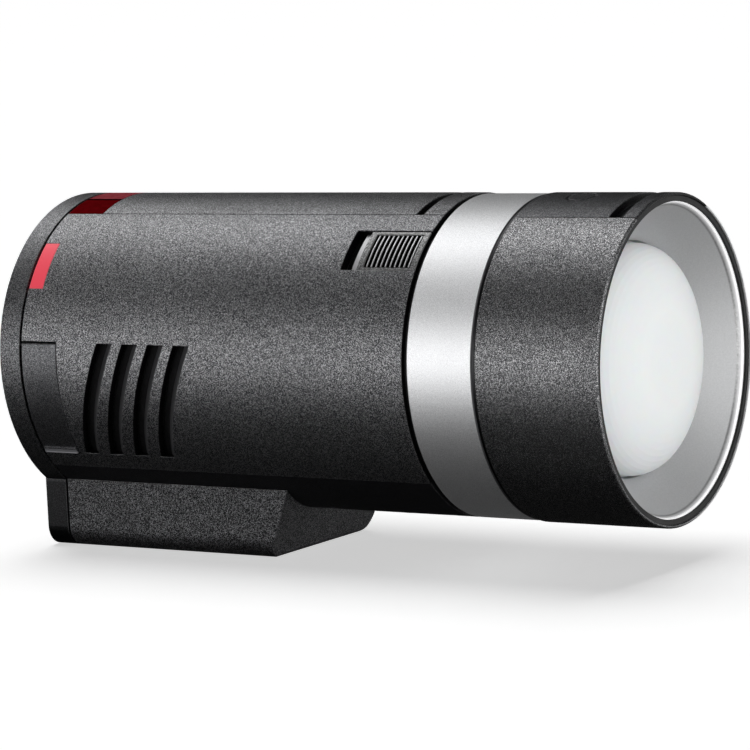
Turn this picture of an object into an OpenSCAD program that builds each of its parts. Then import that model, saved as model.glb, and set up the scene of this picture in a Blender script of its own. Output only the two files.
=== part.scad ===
// Battery-powered monolight strobe: a round barrel lamp head on a battery foot.
// X runs along the barrel towards the light, Y is lateral, Z is up.
// Inside placed(), x is counted from the rear ring's back face and the barrel axis is y = z = 0.

/* [Barrel] */
// Outer radius of the barrel
barrel_r = 45; // [44.8:0.1:45.4]
// Wall thickness of the outer shells
shell_t = 2.4; // [2:0.1:2.6]
// Length of the rear ring
rear_ring_len = 7.2; // [6.8:0.1:7.2]
// Visible gap between the rear ring and the shells
rear_gap = 0.9; // [0.5:0.1:0.9]
// Front end of the body shells
body_end = 135.3; // [135:0.1:135.3]
// Front end of the barrel
barrel_len = 194.4; // [194.2:0.1:195]
// Visible gap between neighbouring shells
seam = 0.3; // [0.2:0.05:0.4]
// Half angle of the top cover
top_half_deg = 25.2; // [24:0.1:26]
// Angle from the top at which the base cover starts
base_deg = 133.7; // [133:0.1:134.5]

/* [Foot] */
// Height of the barrel axis above the ground
axis_h = 56.2; // [56:0.1:58]
// Half width of the foot
foot_half_w = 26.7; // [26:0.1:28]
// Radius along the foot's lower edges
foot_corner_r = 6; // [4:0.5:7]
// Length of the foot's flat underside
foot_len = 77.4; // [77:0.1:80]
// Lean of the foot's front face
foot_lean = 20; // [10:1:25]

/* [Vents] */
// Number of air slots on each side
vent_count = 4; // [2:1:5]
// Distance between air slots
vent_pitch = 8.8; // [8:0.1:10]
// Width of an air slot
vent_w = 5.5; // [4:0.1:6]
// Rearward lean of an air slot from top to bottom
vent_lean = 12; // [6:0.5:14]

/* [Rear panel] */
// Radius of the control dial
dial_r = 8.6; // [8:0.1:9]
// How far the dial stands out behind the rear ring
dial_proud = 7; // [5:0.5:8]
// Travel of a panel button
button_travel = 0.7; // [0.4:0.1:0.7]
// Width of the display window
display_w = 41; // [38:0.5:41]
// Height of the display window
display_h = 25; // [22:0.5:25]

/* [Light head] */
// Rear edge of the silver ring
silver_start = 136.6; // [136.5:0.1:137]
// Front edge of the silver ring
silver_end = 156.8; // [156:0.1:156.9]
// Rear edge of the front barrel
front_start = 158; // [158:0.1:158.5]
// Half angle of the front barrel's top strip
front_strip_deg = 27; // [25:0.5:30]
// Base radius of the glass dome
dome_r = 31.5; // [30:0.1:31.6]
// Height of the dome's curved part
dome_h = 13.2; // [8:0.1:13.6]

/* [Battery] */
// Radius of one battery cell
cell_r = 9.15; // [9:0.05:9.2]
// Length of one battery cell
cell_len = 65; // [60:0.5:65]

/* [Hidden] */
$fn = 96;

// Frame
overall_len = barrel_len + dial_proud;
mid_x = barrel_len - overall_len / 2;
shell_in_r = barrel_r - shell_t;
shell_start = rear_ring_len + rear_gap;
foot_start = shell_start - 0.1;
seam_deg = 0.4;
far = 80;

// Rear panel
panel_x = 1;
panel_t = 2.6;
panel_back = panel_x + panel_t;
panel_r = barrel_r - 4.1;
panel_opening_r = panel_r + 0.3;
panel_floor = -10.9;
bezel_bar_z = panel_floor - seam;
display_z = 22.1;
display_t = 1;
dial_z = -1.2;
dial_cup_r = 5.1;
dial_floor_x = -1.2;
dial_base_x = 0.7;
dial_shaft_r = 3;
set_stem_r = 1.6;
encoder_x = 4.4;
encoder_half = 6;
board_x = 7.7;
board_t = 1.6;
flange_x = panel_back + 0.15;
stem_end = 6;
switch_x = stem_end + button_travel + 0.1;
button_proud = 0.9;
button_gap = 0.25;
// Panel buttons as [y, z, radius]
power_at = [-28.5, 22.5, 3];
test_at = [28.5, 22.5, 3];
menu_at = [-29, -1.2, 3.8];
mode_at = [-17.5, -1.2, 3.8];
group_at = [17.5, -1.2, 3.8];
lamp_at = [29, -1.2, 3.8];
panel_buttons = [power_at, test_at, menu_at, mode_at, group_at, lamp_at];
// Panel screws as [y, z]
panel_screw_at = [[0, 37.6], [-36.2, -6.6], [36.2, -6.6]];
panel_screw_r = 0.9;
panel_screw_head_r = 1.5;

// Side fittings
marker_x = 13.1;
marker_deg = [42.8, 62];
window_end = 20.3;
port_end = 20.5;
port_deg = [81.7, 126.7];
port_hinge_r = 0.7;
port_hinge_deg = 82.85;
port_cover_t = 1.4;
port_peg_r = 0.5;
port_peg_gap = 0.05;
port_lip_deg = 123.6;
port_plate_y = -33;
port_plate_t = 1.6;
usb_x = 14.3;
usb_z = -3.5;
usb_half = [1.65, 4.5];
jack_z = -14;
jack_r = 3;
jack_bore_r = 1.75;
slide_deg = [35, 53];
slide_mid_deg = 44;
slide_well_x = 111.6;
slide_floor_r = barrel_r - 3;
slide_top_r = barrel_r - 0.2;
slide_ledge_r = barrel_r - 1.3;
slide_ledge = 2.2;
slide_travel = 2.7;
slide_x = slide_well_x + slide_travel + 0.1;
pocket_x = [118.4, 133.4];
pocket_deg = [36.7, 51.7];
pocket_r = barrel_r - 1.7;
rib_pitch = 1.47;
rib_count = 10;
rib_t = 0.7;
rib_top_r = barrel_r - 0.3;
stem_x = 121.5;
stem_len = 7;
spring_r = 1.2;
spring_wire_r = 0.25;
spring_turns = 6;
spring_x = 112.9;
spring_axis_r = 38.5;
vent_x = 34.5;
vent_top_z = 6.3;
vent_bottom_z = -26.4;

// Battery bay
bay_half_w = 22.6;
bay_z = [-axis_h + 2.5, -13.4];
bay_end = 74.4;
bay_wall = 1.7;
foot_bore_r = barrel_r - 0.2;
base_r = barrel_r - 0.3;
pack_gap = 0.4;
pack_half_w = bay_half_w - pack_gap;
pack_z = [bay_z[0] + pack_gap, bay_z[1] - pack_gap];
pack_wall = 1.2;
cap_x = 0.7;
case_x = 3.3;
case_end = bay_end - pack_gap;
cell_x = 5.8;
cell_z = (pack_z[0] + pack_z[1]) / 2;
cell_step = cell_r + 0.05;
latch_half_w = 7.6;
latch_z = [-21.6, pack_z[1] - 0.2];
latch_travel = 1.6;
contact_y = [-12, -4, 4, 12];
contact_z = -24;

// Inside the body
deck_z = -11.6;
deck_t = 2;
capacitor_r = 12.4;
capacitor_y = 12.7;
capacitor_x = [37.5, 106];
main_board_z = 17;
fan_x = 44;
fan_z = -10;
fan_half = 15;
fan_y = [-33.5, -25.5];
fan_bore_r = 13.9;
fan_pin_r = 1;
bulkhead_x = 131.2;

// Light head
sleeve_r = 41.2;
front_in_r = 41.5;
relief_r = 42.8;
reflector_seat_x = 189;
reflector_seat_r = 43.2;
rim_seat_x = 191.2;
rim_seat_r = 44.2;
dome_base_x = 179;
dome_t = 2;
dome_flange_x = 175.2;
socket_r = 16;
socket_x = 149;
tube_ring_r = 12;
tube_r = 2.8;
tube_x = 168;
led_x = 157.8;

// Base mount
mount_x = 111;
thread_r = 3.175;
insert_r = 5;
insert_z = [-44.6, -34.6];
base_screw_at = [[90, -10], [90, 10], [127.4, -10], [127.4, 10]];

// Colours
charcoal = "#2b2c2f";
black = "#161618";
board_green = "#1d5a3a";
steel = "#b9bcc0";
silver = "#d5d7da";
red = "#e23a3a";

// Point at radius r and angle a, counted from the top towards -Y
function at(r, a) = [-r * sin(a), r * cos(a)];

module placed() {
    translate([-mid_x, 0, axis_h])
        children();
}

// Extrudes a (y, z) outline along the barrel
module along(x, len) {
    translate([x, 0, 0])
        rotate([90, 0, 90])
            linear_extrude(len)
                children();
}

// Revolves a (radius, x) profile about the barrel axis
module turned() {
    rotate([0, 90, 0])
        rotate_extrude()
            children();
}

module turned_arc(a0, a1) {
    rotate([0, 90, 0])
        rotate_extrude(angle = a1 - a0, start = 180 + a0)
            children();
}

module rod(x, len, r, y = 0, z = 0) {
    translate([x, y, z])
        rotate([0, 90, 0])
            cylinder(r = r, h = len);
}

// Box from ranges of x, y and z
module block(x, y, z) {
    translate([x[0], y[0], z[0]])
        cube([x[1] - x[0], y[1] - y[0], z[1] - z[0]]);
}

module wedge(a0, a1) {
    polygon(concat([[0, 0]], [for (i = [0:4]) at(far, a0 + (a1 - a0) * i / 4)]));
}

module ring(r0, r1) {
    difference() {
        circle(r1);
        circle(r0);
    }
}

module arc_plate(x0, x1, a0, a1, r0, r1) {
    along(x0, x1 - x0)
        intersection() {
            ring(r0, r1);
            wedge(a0, a1);
        }
}

module radial_bar(a, r0, r1, w) {
    rotate(a)
        translate([-w / 2, r0])
            square([w, r1 - r0]);
}

module foot_outline() {
    inner = foot_half_w - foot_corner_r;
    translate([-foot_half_w, foot_corner_r - axis_h])
        square([2 * foot_half_w, 26]);
    translate([-inner, -axis_h])
        square([2 * inner, 26]);
    for (side = [-1, 1])
        translate([side * inner, foot_corner_r - axis_h])
            circle(foot_corner_r);
}

module above(z) {
    translate([-far, z])
        square([2 * far, far]);
}

// ---- Rear panel ----

module rear_bezel() {
    edge = 0.4;
    lug = 2.4;
    color(charcoal)
        placed()
            difference() {
                union() {
                    difference() {
                        union() {
                            turned()
                                polygon([[0, 0], [barrel_r - edge, 0], [barrel_r, edge],
                                    [barrel_r, rear_ring_len], [0, rear_ring_len]]);
                            along(0, rear_ring_len)
                                foot_outline();
                        }
                        along(-1, 10)
                            intersection() {
                                circle(panel_opening_r);
                                above(bezel_bar_z);
                            }
                    }
                    along(panel_back + 0.1, 1.5)
                        intersection() {
                            ring(panel_opening_r - 0.9, barrel_r - 1);
                            above(bezel_bar_z - 1);
                        }
                    along(panel_back + 0.1, 3.7) {
                        translate([-lug, panel_screw_at[0][1] - lug])
                            square([2 * lug, 7.5]);
                        for (side = [-1, 1])
                            translate([side * 38.2 - 4, panel_screw_at[1][1] - lug])
                                square([8, 2 * lug]);
                    }
                }
                block([-1, 10], [-bay_half_w, bay_half_w], bay_z);
                for (p = panel_screw_at)
                    rod(-1, 10, panel_screw_r + 0.05, p[0], p[1]);
                rod(rear_ring_len - 0.8, 2, port_peg_r + port_peg_gap,
                    at(barrel_r - 0.8, port_hinge_deg)[0], at(barrel_r - 0.8, port_hinge_deg)[1]);
            }
}

module control_panel() {
    rim = 0.2;
    lip = 1.5;
    color(black)
        placed()
            difference() {
                along(panel_x, panel_t)
                    intersection() {
                        circle(panel_r);
                        above(panel_floor);
                    }
                block([0, panel_x + display_t + 0.2],
                    [-display_w / 2 - rim, display_w / 2 + rim],
                    [display_z - display_h / 2 - rim, display_z + display_h / 2 + rim]);
                block([0, 5],
                    [-display_w / 2 + lip, display_w / 2 - lip],
                    [display_z - display_h / 2 + lip, display_z + display_h / 2 - lip]);
                rod(0, 5, dial_shaft_r + 0.3, 0, dial_z);
                for (b = panel_buttons)
                    rod(0, 5, b[2] + button_gap, b[0], b[1]);
                for (p = panel_screw_at) {
                    rod(0, 5, panel_screw_r + 0.15, p[0], p[1]);
                    rod(0, 2.1, panel_screw_head_r + 0.2, p[0], p[1]);
                }
            }
}

module display_window() {
    color("#20262b")
        placed()
            block([panel_x + 0.1, panel_x + 0.1 + display_t],
                [-display_w / 2, display_w / 2],
                [display_z - display_h / 2, display_z + display_h / 2]);
}

module display_module() {
    color("#8fb7c9")
        placed()
            block([panel_back + 0.2, stem_end + 0.8],
                [-display_w / 2, display_w / 2],
                [display_z - display_h / 2, display_z + display_h / 2]);
}

module control_board() {
    margin = 4;
    color(board_green)
        placed() {
            along(board_x, board_t)
                intersection() {
                    circle(panel_r - 2.4);
                    above(panel_floor);
                }
            for (b = panel_buttons)
                block([switch_x, board_x], [b[0] - 2, b[0] + 2], [b[1] - 2, b[1] + 2]);
            block([board_x + board_t, board_x + board_t + 2], [-margin - 6, margin], [8, 8 + 2 * margin]);
        }
}

module rotary_encoder() {
    color(steel)
        placed()
            difference() {
                block([encoder_x, board_x - 0.1], [-encoder_half, encoder_half],
                    [dial_z - encoder_half, dial_z + encoder_half]);
                rod(encoder_x - 1, 3.4, set_stem_r + 0.3, 0, dial_z);
            }
}

module panel_screws() {
    color(steel)
        placed()
            for (p = panel_screw_at)
                difference() {
                    union() {
                        rod(panel_x + 0.2, 0.9, panel_screw_head_r, p[0], p[1]);
                        rod(panel_x + 1, 5.6, panel_screw_r, p[0], p[1]);
                    }
                    for (turn = [0, 90])
                        translate([panel_x, p[0], p[1]])
                            rotate([turn, 0, 0])
                                cube([1.2, 1.8, 0.4], center = true);
                }
}

module control_dial() {
    grooves = 30;
    groove_r = 0.45;
    edge = 0.6;
    color(black)
        placed()
            translate([0, 0, dial_z])
                difference() {
                    turned()
                        polygon([[dial_cup_r, -dial_proud], [dial_r - edge, -dial_proud],
                            [dial_r, edge - dial_proud], [dial_r, dial_base_x],
                            [dial_shaft_r, dial_base_x], [dial_shaft_r, encoder_x - 0.2],
                            [set_stem_r + 0.3, encoder_x - 0.2], [set_stem_r + 0.3, dial_floor_x],
                            [dial_cup_r, dial_floor_x]]);
                    for (i = [0:grooves - 1])
                        rotate([i * 360 / grooves, 0, 0])
                            rod(-dial_proud - 1, dial_proud + 0.6, groove_r, 0, dial_r + 0.1);
                }
}

module set_button() {
    color(charcoal)
        placed() {
            rod(-dial_proud + 0.6, 2.6, dial_cup_r - 0.3, 0, dial_z);
            rod(-dial_proud + 3, encoder_x + dial_proud - 2, set_stem_r, 0, dial_z);
        }
}

module panel_button(b, shade) {
    color(shade)
        placed() {
            rod(panel_x - button_proud, flange_x - panel_x + button_proud, b[2], b[0], b[1]);
            rod(flange_x, 0.9, b[2] + 0.7, b[0], b[1]);
            rod(flange_x + 0.8, stem_end - flange_x - 0.8, 1.2, b[0], b[1]);
        }
}

module power_button() {
    panel_button(power_at, red);
}

module test_button() {
    panel_button(test_at, silver);
}

module menu_button() {
    panel_button(menu_at, charcoal);
}

module mode_button() {
    panel_button(mode_at, charcoal);
}

module group_button() {
    panel_button(group_at, charcoal);
}

module lamp_button() {
    panel_button(lamp_at, charcoal);
}

// ---- Body shells ----

module side_blank() {
    difference() {
        arc_plate(shell_start, body_end, top_half_deg + seam_deg, base_deg - 0.3, shell_in_r, barrel_r);
        for (i = [0:vent_count - 1])
            translate([vent_x + i * vent_pitch, -20, 0])
                rotate([90, 0, 0])
                    linear_extrude(40)
                        polygon([[0, vent_top_z], [vent_w, vent_top_z],
                            [vent_w - vent_lean - 0.6, vent_bottom_z],
                            [-vent_lean, vent_bottom_z]]);
    }
}

module left_shell() {
    hinge = at(barrel_r - 0.8, port_hinge_deg);
    floor_r = 40.4;
    color(charcoal)
        placed()
            difference() {
                union() {
                    side_blank();
                    arc_plate(slide_well_x - 1.6, body_end - 1.3, slide_deg[0] - 2.5, slide_deg[1] + 2.5,
                        floor_r, shell_in_r + 0.4);
                    arc_plate(slide_well_x - 0.4, spring_x - 0.1, slide_mid_deg - 3, slide_mid_deg + 3,
                        36.8, floor_r + 0.4);
                }
                arc_plate(slide_well_x, body_end + 1, slide_deg[0], slide_deg[1],
                    slide_floor_r, barrel_r + 1);
                along(stem_x - 3.1, stem_len + 3.9)
                    radial_bar(slide_mid_deg, 38, barrel_r, 3.2);
                arc_plate(shell_start - 1, port_end, port_deg[0], port_deg[1], shell_in_r - 1, barrel_r + 1);
                arc_plate(shell_start - 1, marker_x, marker_deg[0] - 0.2, marker_deg[1] + 0.2,
                    shell_in_r - 1, barrel_r + 1);
                rod(port_end - 1, 2, port_peg_r + port_peg_gap, hinge[0], hinge[1]);
            }
}

module right_shell() {
    color(charcoal)
        placed()
            mirror([0, 1, 0])
                side_blank();
}

module top_cover() {
    slot_x = [126.2, 128.9];
    color(charcoal)
        placed()
            difference() {
                arc_plate(window_end + seam, body_end, -top_half_deg, top_half_deg,
                    shell_in_r, barrel_r);
                arc_plate(slot_x[0], slot_x[1], -40, 40, shell_in_r + 0.7, barrel_r + 1);
            }
}

module base_cover() {
    color(black)
        placed()
            difference() {
                union() {
                    arc_plate(shell_start, body_end, base_deg + 0.2, 359.8 - base_deg, shell_in_r, base_r);
                    for (p = base_screw_at)
                        translate([p[0], p[1], -42.3])
                            cylinder(r = 3.4, h = 6.4);
                }
                block([0, bay_end + bay_wall + seam], [-bay_half_w - 2, bay_half_w + 2], [-far, 0]);
                translate([mount_x, 0, -far])
                    cylinder(r = insert_r + 0.3, h = far);
                for (p = base_screw_at) {
                    translate([p[0], p[1], -far])
                        cylinder(r = 1.5, h = far);
                    translate([p[0], p[1], -far])
                        cylinder(r = 2.7, h = far - 41.4);
                }
            }
}

module sensor_window() {
    crease_deg = 12;
    crease = [0.35, 0.4];
    color("#5a0a12")
        placed()
            difference() {
                arc_plate(shell_start + 0.1, window_end, -top_half_deg, top_half_deg,
                    shell_in_r + 0.3, barrel_r);
                for (side = [-1, 1])
                    along(shell_start, window_end)
                        radial_bar(side * crease_deg, barrel_r - crease[1], barrel_r + 1, crease[0]);
            }
}

module optical_sensor() {
    color("#3a3a3e")
        placed()
            block([12, 16], [-3, 3], [36, 41]);
}

module side_marker() {
    color(red)
        placed()
            arc_plate(shell_start + 0.1, marker_x - 0.2, marker_deg[0], marker_deg[1],
                shell_in_r + 0.1, barrel_r);
}

// ---- Port bay ----

module port_cover() {
    hinge = at(barrel_r - 0.8, port_hinge_deg);
    start = shell_start + 0.1;
    len = port_end - seam - start;
    peg = 0.8;
    rear_peg_x = rear_ring_len - 0.6;
    color(charcoal)
        placed() {
            arc_plate(start, start + len, port_hinge_deg, port_deg[1] - 0.4, barrel_r - port_cover_t, barrel_r);
            arc_plate(start + 0.5, start + len - 0.3, port_lip_deg, port_deg[1] - 0.4,
                barrel_r - 0.4, barrel_r + 0.5);
            rod(start, len, port_hinge_r, hinge[0], hinge[1]);
            rod(rear_peg_x, start + len + peg - rear_peg_x, port_peg_r, hinge[0], hinge[1]);
        }
}

module port_plate() {
    color(black)
        placed()
            difference() {
                block([board_x + board_t + 0.3, port_end - 0.1], [port_plate_y, port_plate_y + port_plate_t],
                    [-24, 4.2]);
                block([usb_x - usb_half[0] - 0.2, usb_x + usb_half[0] + 0.2],
                    [port_plate_y - 1, port_plate_y + 3],
                    [usb_z - usb_half[1] - 0.2, usb_z + usb_half[1] + 0.2]);
                translate([usb_x, port_plate_y - 1, jack_z])
                    rotate([-90, 0, 0])
                        cylinder(r = jack_r + 0.1, h = 4);
            }
}

module usb_socket() {
    wall = 0.35;
    front = port_plate_y - 1.5;
    color(steel)
        placed()
            difference() {
                block([usb_x - usb_half[0], usb_x + usb_half[0]], [front, front + 8],
                    [usb_z - usb_half[1], usb_z + usb_half[1]]);
                difference() {
                    block([usb_x - usb_half[0] + wall, usb_x + usb_half[0] - wall], [front - 1, front + 6],
                        [usb_z - usb_half[1] + wall, usb_z + usb_half[1] - wall]);
                    block([usb_x - wall, usb_x + wall], [front + 0.6, front + 7],
                        [usb_z - usb_half[1] + 1.1, usb_z + usb_half[1] - 1.1]);
                }
            }
}

module sync_jack() {
    color(steel)
        placed()
            translate([usb_x, port_plate_y - 1.4, jack_z])
                rotate([-90, 0, 0])
                    difference() {
                        cylinder(r = jack_r, h = 9.6);
                        translate([0, 0, -1])
                            cylinder(r = jack_bore_r, h = 9);
                    }
}

// ---- Release slide ----

module release_slide() {
    base_end = body_end - seam;
    end_gap = (pocket_x[1] - pocket_x[0] - (rib_count - 1) * rib_pitch - rib_t) / 2;
    color(black)
        placed() {
            difference() {
                turned_arc(slide_deg[0] + 0.4, slide_deg[1] - 0.4)
                    polygon([[slide_floor_r + 0.3, slide_x], [slide_ledge_r, slide_x],
                        [slide_ledge_r, slide_x + slide_ledge], [slide_top_r, slide_x + slide_ledge],
                        [slide_top_r, base_end], [slide_floor_r + 0.3, base_end]]);
                arc_plate(pocket_x[0], pocket_x[1], pocket_deg[0], pocket_deg[1], pocket_r, barrel_r + 1);
            }
            for (i = [0:rib_count - 1])
                translate([pocket_x[0] + end_gap + i * rib_pitch, 0, 0])
                    turned_arc(pocket_deg[0] + 0.5, pocket_deg[1] - 0.5)
                        polygon([[pocket_r - 0.2, 0], [rib_top_r, rib_t * 0.6], [rib_top_r, rib_t],
                            [pocket_r - 0.2, rib_t]]);
            along(stem_x, stem_len)
                radial_bar(slide_mid_deg, 37, slide_floor_r + 0.6, 2.4);
        }
}

// Wire section's point k of n on the spring at turn t
function spring_point(t, k, n) = let(r = spring_r + spring_wire_r * cos(360 * k / n))
    [spring_wire_r * sin(360 * k / n) + t * (stem_x - spring_x - 2 * spring_wire_r - 0.2) / spring_turns,
        r * cos(360 * t), r * sin(360 * t)];

module slide_spring() {
    sides = 6;
    steps = 12 * spring_turns;
    centre = at(spring_axis_r, slide_mid_deg);
    points = [for (i = [0:steps]) for (k = [0:sides - 1]) spring_point(i / 12, k, sides)];
    walls = [for (i = [0:steps - 1]) for (k = [0:sides - 1])
        [i * sides + k, i * sides + (k + 1) % sides,
            (i + 1) * sides + (k + 1) % sides, (i + 1) * sides + k]];
    first_end = [for (k = [sides - 1:-1:0]) k];
    last_end = [for (k = [0:sides - 1]) steps * sides + k];
    color(steel)
        placed()
            translate([spring_x + spring_wire_r + 0.1, centre[0], centre[1]])
                polyhedron(points, concat(walls, [first_end, last_end]));
}

// ---- Battery ----

module foot_side() {
    top = -30;
    nose_r = 2;
    run = tan(foot_lean);
    // Centre of the rounding between underside and leaning front face
    centre = [foot_len - nose_r * tan(45 - foot_lean / 2), nose_r - axis_h];
    polygon(concat(
        [[foot_start, top], [foot_start, -axis_h]],
        [for (a = [-90:11:foot_lean * -1]) centre + nose_r * [cos(a), sin(a)]],
        [[foot_len + (top + axis_h) * run, top]]));
}

module battery_housing() {
    box_top = bay_z[1] + 1.5;
    color(charcoal)
        placed()
            difference() {
                union() {
                    difference() {
                        intersection() {
                            along(foot_start, 90)
                                foot_outline();
                            translate([0, far / 2, 0])
                                rotate([90, 0, 0])
                                    linear_extrude(far)
                                        foot_side();
                        }
                        rod(0, 120, foot_bore_r);
                    }
                    block([foot_start, bay_end + bay_wall],
                        [-bay_half_w - bay_wall, bay_half_w + bay_wall], [-50, box_top]);
                }
                block([0, bay_end], [-bay_half_w, bay_half_w], bay_z);
                for (y = contact_y)
                    block([bay_end - 1, bay_end + 4], [y - 1.1, y + 1.1], [contact_z - 3.1, contact_z + 3.1]);
            }
}

module battery_case() {
    color("#232427")
        placed()
            difference() {
                block([case_x, case_end], [-pack_half_w, pack_half_w], pack_z);
                block([case_x - 1, case_end - 1.6], [-pack_half_w + pack_wall, pack_half_w - pack_wall],
                    [pack_z[0] + pack_wall, pack_z[1] - pack_wall]);
                for (y = contact_y)
                    block([case_end - 3, case_end + 1], [y - 1.1, y + 1.1], [contact_z - 3.1, contact_z + 3.1]);
            }
}

module battery_cap() {
    color(charcoal)
        placed()
            difference() {
                block([cap_x, case_x - 0.1], [-pack_half_w, pack_half_w], pack_z);
                block([0, 5], [-latch_half_w - 0.4, latch_half_w + 0.4],
                    [latch_z[0] - latch_travel - 0.4, far]);
                block([2, 5], [-latch_half_w - 1.8, latch_half_w + 1.8],
                    [latch_z[0] - latch_travel - 1.2, far]);
                for (i = [0:3])
                    block([0, cap_x + 0.8], [-13, 13], [-44 + 3 * i, -42.4 + 3 * i]);
            }
}

module battery_latch() {
    color(red)
        placed()
            difference() {
                union() {
                    block([cap_x + 0.2, 2.9], [-latch_half_w, latch_half_w], latch_z);
                    block([2.2, 3], [-latch_half_w - 1.4, latch_half_w + 1.4],
                        [latch_z[0] - 0.8, latch_z[1]]);
                }
                for (i = [0:2])
                    block([0, cap_x + 0.7], [-5, 5], [latch_z[0] + 1.4 + 1.7 * i, latch_z[0] + 2.2 + 1.7 * i]);
            }
}

module battery_cells() {
    color("#3f7fb0")
        placed()
            for (y = [-1, 1], z = [-1, 1]) {
                rod(cell_x, cell_len, cell_r, y * cell_step, cell_z + z * cell_step);
                rod(cell_x + cell_len, 0.8, 3, y * cell_step, cell_z + z * cell_step);
            }
}

module battery_contacts() {
    color("#c9a227")
        placed()
            for (y = contact_y)
                block([case_end - 1.8, case_end + 0.2], [y - 1, y + 1], [contact_z - 3, contact_z + 3]);
}

module bay_contacts() {
    color("#c9a227")
        placed()
            for (y = contact_y)
                block([bay_end - 0.05, bay_end + 4.5], [y - 1, y + 1], [contact_z - 3, contact_z + 3]);
}

// ---- Inside the body ----

module deck() {
    color("#55585c")
        placed()
            difference() {
                block([11, bulkhead_x - 0.3], [-36.5, 36.5], [deck_z, deck_z + deck_t]);
                block([10, 62], [-far, -24.7], [deck_z - 1, deck_z + 3]);
            }
}

module capacitors() {
    color("#1f2f52")
        placed()
            for (side = [-1, 1])
                rod(capacitor_x[0], capacitor_x[1] - capacitor_x[0], capacitor_r, side * capacitor_y,
                    deck_z + deck_t + 0.2 + capacitor_r);
}

module transformer() {
    color("#6b4a2a")
        placed() {
            for (z = [[-9.4, -1], [8, 15.6]])
                block([12, 36.5], [-20.5, 20.5], z);
            block([17, 31.5], [-18.5, 18.5], [-1, 8]);
        }
}

module main_board() {
    top = main_board_z + 1.6;
    color(board_green)
        placed() {
            block([12, 106], [-34, 34], [main_board_z, top]);
            block([26, 44], [-12, 8], [top, top + 14]);
            block([72, 84], [-30, -16], [top, top + 4]);
            for (i = [0:2])
                translate([88 + 6.5 * i, 24, top])
                    cylinder(r = 2.8, h = 7);
        }
}

module trigger_coil() {
    color("#a8552a")
        placed() {
            rod(50, 18, 6.5, 20, 26);
            for (x = [49, 67.5])
                rod(x, 1.5, 7.2, 20, 26);
        }
}

module power_heat_sink() {
    color(silver)
        placed() {
            block([70, 100], [-10, 12], [main_board_z + 1.8, main_board_z + 4]);
            for (i = [0:6])
                block([70, 100], [-10 + 3.5 * i, -9 + 3.5 * i], [main_board_z + 3.9, 34]);
        }
}

module fan_frame() {
    hub_r = 6;
    mid = [fan_x, 0, fan_z];
    color(black)
        placed()
            translate(mid)
                rotate([-90, 0, 0])
                    translate([0, 0, fan_y[0]]) {
                        depth = fan_y[1] - fan_y[0];
                        difference() {
                            translate([-fan_half, -fan_half, 0])
                                cube([2 * fan_half, 2 * fan_half, depth]);
                            translate([0, 0, -1])
                                cylinder(r = fan_bore_r, h = depth + 2);
                            for (x = [-1, 1], y = [-1, 1])
                                translate([x * 12.4, y * 12.4, -1])
                                    cylinder(r = 1.5, h = depth + 2);
                        }
                        translate([0, 0, depth - 1.2]) {
                            cylinder(r = hub_r, h = 1.2);
                            for (turn = [45, 135])
                                rotate(turn)
                                    translate([-fan_bore_r - 0.4, -1, 0])
                                        cube([2 * fan_bore_r + 0.8, 2, 1.2]);
                        }
                        translate([0, 0, 2.4])
                            cylinder(r = fan_pin_r, h = depth - 3);
                    }
}

module fan_rotor() {
    blades = 7;
    hub_r = 6;
    blade_h = 5;
    color("#3a3c40")
        placed()
            translate([fan_x, 0, fan_z])
                rotate([-90, 0, 0])
                    translate([0, 0, fan_y[0] + 0.6])
                        difference() {
                            union() {
                                cylinder(r = hub_r, h = blade_h + 0.7);
                                intersection() {
                                    cylinder(r = fan_bore_r - 0.6, h = blade_h + 0.7);
                                    for (i = [0:blades - 1])
                                        rotate(i * 360 / blades)
                                            translate([hub_r - 1, 0, blade_h / 2])
                                                rotate([38, 0, 0])
                                                    translate([0, -3.4, -0.5])
                                                        cube([12, 6.8, 1]);
                                }
                            }
                            translate([0, 0, 1.5])
                                cylinder(r = fan_pin_r + 0.06, h = blade_h);
                        }
}

// ---- Light head ----

module front_bulkhead() {
    color(black)
        placed()
            along(bulkhead_x, 2.4)
                difference() {
                    circle(40);
                    circle(12);
                    for (turn = [45:90:315])
                        translate(at(30, turn))
                            circle(2);
                }
}

module front_sleeve() {
    wall = 1.8;
    color(black)
        placed()
            turned()
                polygon([[sleeve_r - wall, 134.3], [sleeve_r, 134.3], [sleeve_r, body_end + 0.15],
                    [barrel_r - 1.5, body_end + 0.15], [barrel_r - 1.5, silver_start - 0.1],
                    [sleeve_r, silver_start - 0.1], [sleeve_r, 184.5], [sleeve_r - wall, 184.5]]);
}

module silver_ring() {
    edge = 0.4;
    outer = barrel_r - 0.3;
    inner = sleeve_r + 0.1;
    skin_r = outer - 1.6;
    land = 2;
    color(silver)
        placed()
            turned()
                polygon([[inner, silver_start], [outer - edge, silver_start],
                    [outer, silver_start + edge], [outer, silver_end - edge],
                    [outer - edge, silver_end], [inner, silver_end],
                    [inner, silver_end - land], [skin_r, silver_end - land],
                    [skin_r, silver_start + land], [inner, silver_start + land]]);
}

module trim_ring() {
    color("#4a4b4e")
        placed()
            turned()
                polygon([[sleeve_r + 0.1, silver_end + 0.05], [barrel_r - 0.5, silver_end + 0.05],
                    [barrel_r - 0.5, silver_end + 0.7], [barrel_r - 1.2, silver_end + 0.8],
                    [barrel_r - 1.2, front_start - 0.1], [sleeve_r + 0.1, front_start - 0.1]]);
}

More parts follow.
